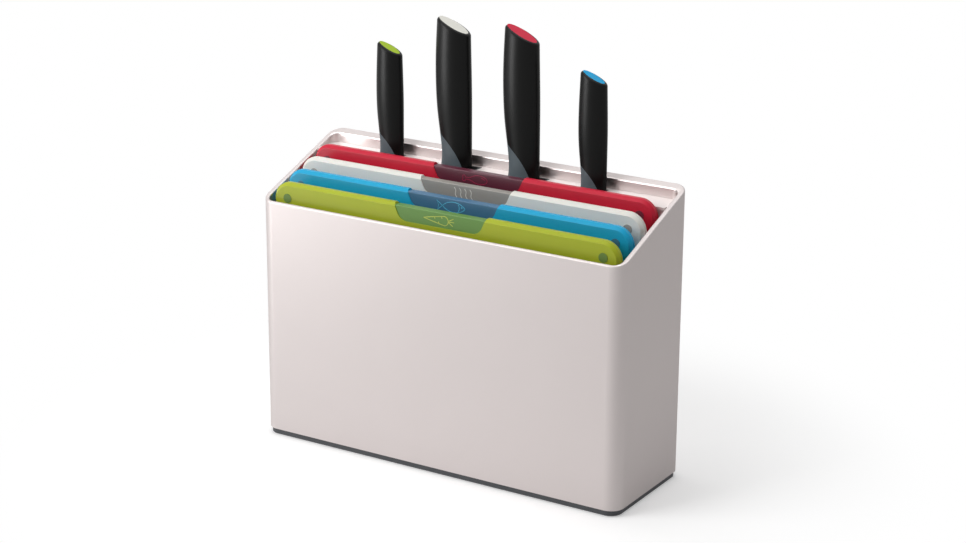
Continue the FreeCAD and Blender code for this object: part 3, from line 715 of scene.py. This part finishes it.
STROKES: dict[Mark, Callable[[], list[list[Flat]]]] = {
    Mark.CARROT: carrot_strokes,
    Mark.FISH: fish_strokes,
    Mark.STEAM: steam_strokes,
    Mark.DRUMSTICK: drumstick_strokes,
}


def add_stroke(
    shape: bmesh.types.BMesh,
    points: Sequence[Flat],
    width: float,
    lay: Callable[[float, float, float], Vector],
) -> None:
    """Add one raised line to a bmesh.

    Args:
        shape: The bmesh.
        points: The line's middle, in its own plane.
        width: Width of the line.
        lay: Turns plane coordinates and a height into a place on the object.
    """
    rows = []
    for index, point in enumerate(points):
        before = Vector(points[max(0, index - 1)])
        after = Vector(points[min(len(points) - 1, index + 1)])
        along = (after - before).normalized()
        side = Vector((-along.y, along.x)) * width / 2
        left, right = Vector(point) + side, Vector(point) - side
        rows.append(
            [
                shape.verts.new(lay(left.x, left.y, 0.0)),
                shape.verts.new(lay(left.x, left.y, 1.0)),
                shape.verts.new(lay(right.x, right.y, 1.0)),
                shape.verts.new(lay(right.x, right.y, 0.0)),
            ]
        )
    for near, far in zip(rows, rows[1:]):
        for corner in range(4):
            following = (corner + 1) % 4
            shape.faces.new((near[corner], near[following], far[following], far[corner]))
    shape.faces.new(rows[0][::-1])
    shape.faces.new(rows[-1])


@dataclass
class Board:
    """One chopping board with its tab, buttons and pictogram."""

    workshop: Workshop
    colour: str
    mark: Mark
    line_width: float = 0.55
    line_height: float = 0.16 * MM
    line_sunk: float = 0.05 * MM

    def finish(self, piece: str) -> Finish:
        """Finish of one of the board's pieces."""
        return Finish[f"{piece}_{self.colour}".upper()]

    def dress(self) -> None:
        """Lay the finishes on the board's nodes and add its pictogram."""
        for piece, kind in (("panel", "board"), ("tab", "tab"), ("buttons", "button")):
            finish = self.finish(kind)
            node = f"{self.colour}_board_{piece}"
            self.workshop.dress_node(node, finish)
            log.info("board piece %s: %s", node, finish.value.name)
        self.add_pictogram()

    def add_pictogram(self) -> bpy.types.Object:
        """Raise the pictogram's lines on the front of the tab.

        Returns:
            The new piece.
        """
        low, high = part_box(f"{self.colour}_board_tab")
        middle_z = (low.z + high.z) / 2

        def lay(x: float, z: float, height: float) -> Vector:
            """Place of a point of the pictogram on the tab's front face."""
            out = low.y + self.line_sunk - height * (self.line_height + self.line_sunk)
            return Vector((x * MM, out, middle_z + z * MM))

        shape = bmesh.new()
        for stroke in STROKES[self.mark]():
            add_stroke(shape, stroke, self.line_width, lay)
        bmesh.ops.recalc_face_normals(shape, faces=shape.faces)
        piece = mesh_object(f"{self.colour}_board_pictogram", shape)
        self.workshop.dress(piece, self.finish("mark"))
        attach(piece, f"{self.colour}_board")
        log.info("board piece %s: %s", piece.name, self.mark.value)
        return piece


# ---------------------------------------------------------------- knives


@dataclass
class Knife:
    """One knife: blade, handle, thumb grip and end cap."""

    workshop: Workshop
    name: str
    cap_finish: Finish

    def dress(self) -> None:
        """Lay the finishes on the knife's nodes."""
        for piece, finish in (
            ("blade", Finish.BLADE),
            ("handle", Finish.HANDLE),
            ("grip", Finish.GRIP),
            ("end_cap", self.cap_finish),
        ):
            node = f"{self.name}_knife_{piece}"
            self.workshop.dress_node(node, finish)
            log.info("knife piece %s: %s", node, finish.value.name)
        self.workshop.dress_node(f"{self.name}_sheath", Finish.RACK)


# ---------------------------------------------------------------- studio


@dataclass
class SoftBox:
    """One rectangular studio lamp that points at a spot."""

    name: str
    place: Point
    aim: Point
    size: Flat
    power: float
    highlights_only: bool = False

    def build(self) -> bpy.types.Object:
        """Make the lamp."""
        data = bpy.data.lights.new(self.name, "AREA")
        data.shape = "RECTANGLE"
        data.size, data.size_y = self.size
        data.energy = self.power
        lamp = bpy.data.objects.new(self.name, data)
        lamp.location = self.place
        way = Vector(self.aim) - Vector(self.place)
        lamp.rotation_euler = way.to_track_quat("-Z", "Y").to_euler()
        lamp.visible_diffuse = not self.highlights_only
        bpy.context.scene.collection.objects.link(lamp)
        return lamp


@dataclass
class Studio:
    """Pale floor, soft lamps and the camera."""

    floor_half: float = 8.0
    floor_colour: Colour = (0.80, 0.80, 0.80)
    floor_glow: float = 0.38
    clear_from: float = 0.18
    clear_to: float = 0.38
    room_level: float = 0.17
    azimuth: float = 31.546
    elevation: float = 18.128
    roll: float = 0.379
    distance: float = 1.83137
    target: Point = (0.0126, 0.0, 0.15662)
    lens: float = 86.69
    lamps: tuple[SoftBox, ...] = (
        SoftBox("key_lamp", (-0.86, -1.08, 0.98), (0.0, 0.0, 0.14), (1.0, 1.0), 15.5),
        SoftBox("top_lamp", (-0.1, 0.15, 1.7), (0.0, 0.0, 0.2), (1.3, 1.1), 13.0),
        SoftBox("strip_lamp", (-0.84, -0.76, 0.16), (0.0, 0.0, 0.30), (0.35, 0.5), 7.0, True),
    )

    def build(self) -> None:
        """Make the floor, the room, the lamps and the camera."""
        self.make_floor()
        self.make_room()
        for lamp in self.lamps:
            lamp.build()
        self.make_camera()
        bpy.context.scene.view_settings.view_transform = "Standard"

    def make_floor(self) -> bpy.types.Object:
        """Make the floor, which shows white where no shadow falls.

        Returns:
            The floor.
        """
        shape = bmesh.new()
        bmesh.ops.create_grid(shape, x_segments=8, y_segments=8, size=self.floor_half)
        floor = mesh_object("studio_floor", shape)
        tree = ShaderTree("studio_floor_white")
        fleck = tree.noise(30.0, 3.0)
        tint = tree.mix(tone(self.floor_colour, 0.99), tone(self.floor_colour, 1.01), fleck)
        diffuse = tree.node("ShaderNodeBsdfDiffuse", {}, {"Color": tint})
        glow = tree.node("ShaderNodeEmission", {}, {"Color": WHITE, "Strength": self.floor_glow})
        near = tree.node("ShaderNodeAddShader", {}, {0: diffuse, 1: glow})
        far = tree.node("ShaderNodeEmission", {}, {"Color": WHITE, "Strength": 1.0})
        reach = tree.node(
            "ShaderNodeVectorMath", {"operation": "LENGTH"}, {0: tree.place()}, "Value"
        )
        clear = reach.ramp(self.clear_from, self.clear_to)
        shown = tree.node("ShaderNodeMixShader", {}, {0: clear, 1: near, 2: far})
        pale = tree.node("ShaderNodeBsdfDiffuse", {}, {"Color": self.floor_colour})
        final = tree.node(
            "ShaderNodeMixShader", {}, {0: self.direct_rays(tree), 1: pale, 2: shown}
        )
        tree.links.new(final.socket, tree.output.inputs["Surface"])
        floor.data.materials.append(tree.material)
        return floor

    @staticmethod
    def direct_rays(tree: ShaderTree) -> Signal:
        """1 for rays from the camera, off glossy surfaces or through clear ones, else 0."""
        seen = tree.node("ShaderNodeLightPath", output="Is Camera Ray")
        seen = seen + seen.output("Is Glossy Ray") + seen.output("Is Transmission Ray")
        return seen.clamped()

    def make_room(self) -> None:
        """Make the room: white to the eye and in reflections, softer as a light."""
        world = bpy.data.worlds.new("studio_room")
        world.use_nodes = True
        tree = ShaderTree.on_world(world)
        seen = tree.node("ShaderNodeBackground", {}, {"Color": WHITE, "Strength": 1.0})
        lit = tree.node("ShaderNodeBackground", {}, {"Color": WHITE, "Strength": self.room_level})
        final = tree.node("ShaderNodeMixShader", {}, {0: self.direct_rays(tree), 1: lit, 2: seen})
        tree.links.new(final.socket, tree.output.inputs["Surface"])
        bpy.context.scene.world = world

    def make_camera(self) -> None:
        """Make the camera, which looks at the target from an angle and a distance."""
        turn, rise, roll = (math.radians(a) for a in (self.azimuth, self.elevation, self.roll))
        level = math.cos(rise)
        back = Vector((math.sin(turn) * level, -math.cos(turn) * level, math.sin(rise)))
        data = bpy.data.cameras.new("studio_camera")
        data.lens = self.lens
        data.clip_start, data.clip_end = 0.05, 40.0
        camera = bpy.data.objects.new("studio_camera", data)
        camera.location = Vector(self.target) + back * self.distance
        facing = Quaternion(back, roll) @ (-back).to_track_quat("-Z", "Y")
        camera.rotation_euler = facing.to_euler()
        bpy.context.scene.collection.objects.link(camera)
        bpy.context.scene.camera = camera


def main() -> None:
    """Build the looks of the case, its boards and its knives."""
    Studio().build()
    workshop = Workshop()
    Case(workshop).dress()
    for colour, mark in (
        ("lime", Mark.CARROT),
        ("blue", Mark.FISH),
        ("white", Mark.STEAM),
        ("red", Mark.DRUMSTICK),
    ):
        Board(workshop, colour, mark).dress()
    for name, cap in (
        ("paring", Finish.CAP_LIME),
        ("bread", Finish.CAP_WHITE),
        ("chef", Finish.CAP_RED),
        ("fillet", Finish.CAP_BLUE),
    ):
        Knife(workshop, name, cap).dress()


if __name__ == "__main__":
    main()
